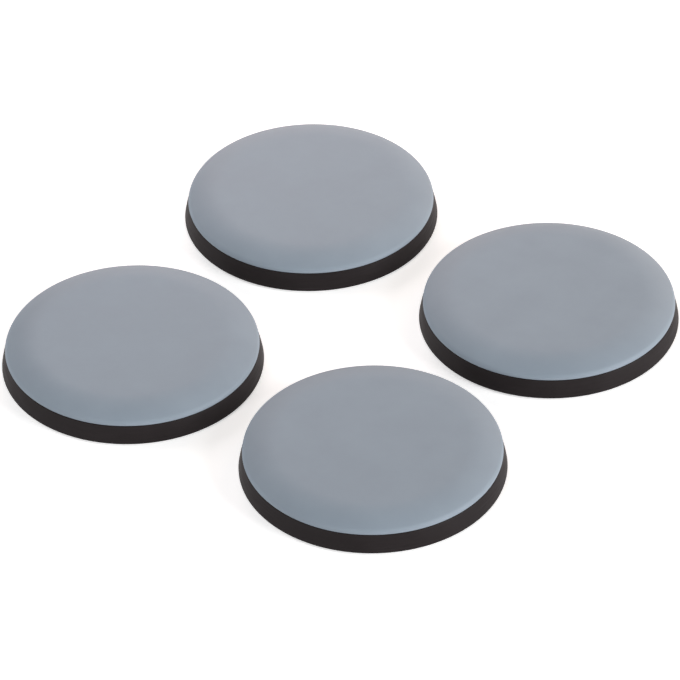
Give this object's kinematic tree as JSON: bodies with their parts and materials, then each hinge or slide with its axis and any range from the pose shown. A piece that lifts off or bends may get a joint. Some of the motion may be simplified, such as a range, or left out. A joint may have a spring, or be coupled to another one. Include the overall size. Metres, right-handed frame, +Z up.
{
  "type": "furniture slider set",
  "caption": "Round self-adhesive furniture sliders with a low-friction grey glide face on a black rubber pad, each with adhesive tape under a pull-off release liner.",
  "frame": {"origin": "centre of the set on the table, level with the undersides of the liners", "axes": "+Z up, out of the glide faces; +X to the right and +Y to the back, along the two rows"},
  "size_m": [0.107, 0.107, 0.0066],
  "materials": {
    "glide_plastic": "satin",
    "bonding_film": "matt",
    "black_rubber": "matt",
    "adhesive_tape": "tacky, semi-gloss",
    "release_liner": "coated paper, satin"
  },
  "bodies": {
    "front_left_slider": {"front_left_glide_face": "glide_plastic", "front_left_bonding_film": "bonding_film", "front_left_rubber_pad": "black_rubber", "front_left_adhesive_tape": "adhesive_tape"},
    "front_left_liner": {"front_left_release_liner": "release_liner"},
    "front_right_slider": {"front_right_glide_face": "glide_plastic", "front_right_bonding_film": "bonding_film", "front_right_rubber_pad": "black_rubber", "front_right_adhesive_tape": "adhesive_tape"},
    "front_right_liner": {"front_right_release_liner": "release_liner"},
    "back_right_slider": {"back_right_glide_face": "glide_plastic", "back_right_bonding_film": "bonding_film", "back_right_rubber_pad": "black_rubber", "back_right_adhesive_tape": "adhesive_tape"},
    "back_right_liner": {"back_right_release_liner": "release_liner"},
    "back_left_slider": {"back_left_glide_face": "glide_plastic", "back_left_bonding_film": "bonding_film", "back_left_rubber_pad": "black_rubber", "back_left_adhesive_tape": "adhesive_tape"},
    "back_left_liner": {"back_left_release_liner": "release_liner"}
  },
  "joints": [
    {"name": "front_left_liner_pull", "type": "slide", "parent": "front_left_slider", "child": "front_left_liner", "axis": [-1, 0, 0], "range_m": [0, 0.052]},
    {"name": "front_right_lift", "type": "slide", "parent": "front_left_slider", "child": "front_right_slider", "axis": [0, 0, 1], "range_m": [0, 0.04]},
    {"name": "front_right_liner_pull", "type": "slide", "parent": "front_right_slider", "child": "front_right_liner", "axis": [1, 0, 0], "range_m": [0, 0.052]},
    {"name": "back_right_lift", "type": "slide", "parent": "front_left_slider", "child": "back_right_slider", "axis": [0, 0, 1], "range_m": [0, 0.04]},
    {"name": "back_right_liner_pull", "type": "slide", "parent": "back_right_slider", "child": "back_right_liner", "axis": [1, 0, 0], "range_m": [0, 0.052]},
    {"name": "back_left_lift", "type": "slide", "parent": "front_left_slider", "child": "back_left_slider", "axis": [0, 0, 1], "range_m": [0, 0.04]},
    {"name": "back_left_liner_pull", "type": "slide", "parent": "back_left_slider", "child": "back_left_liner", "axis": [-1, 0, 0], "range_m": [0, 0.052]}
  ]
}
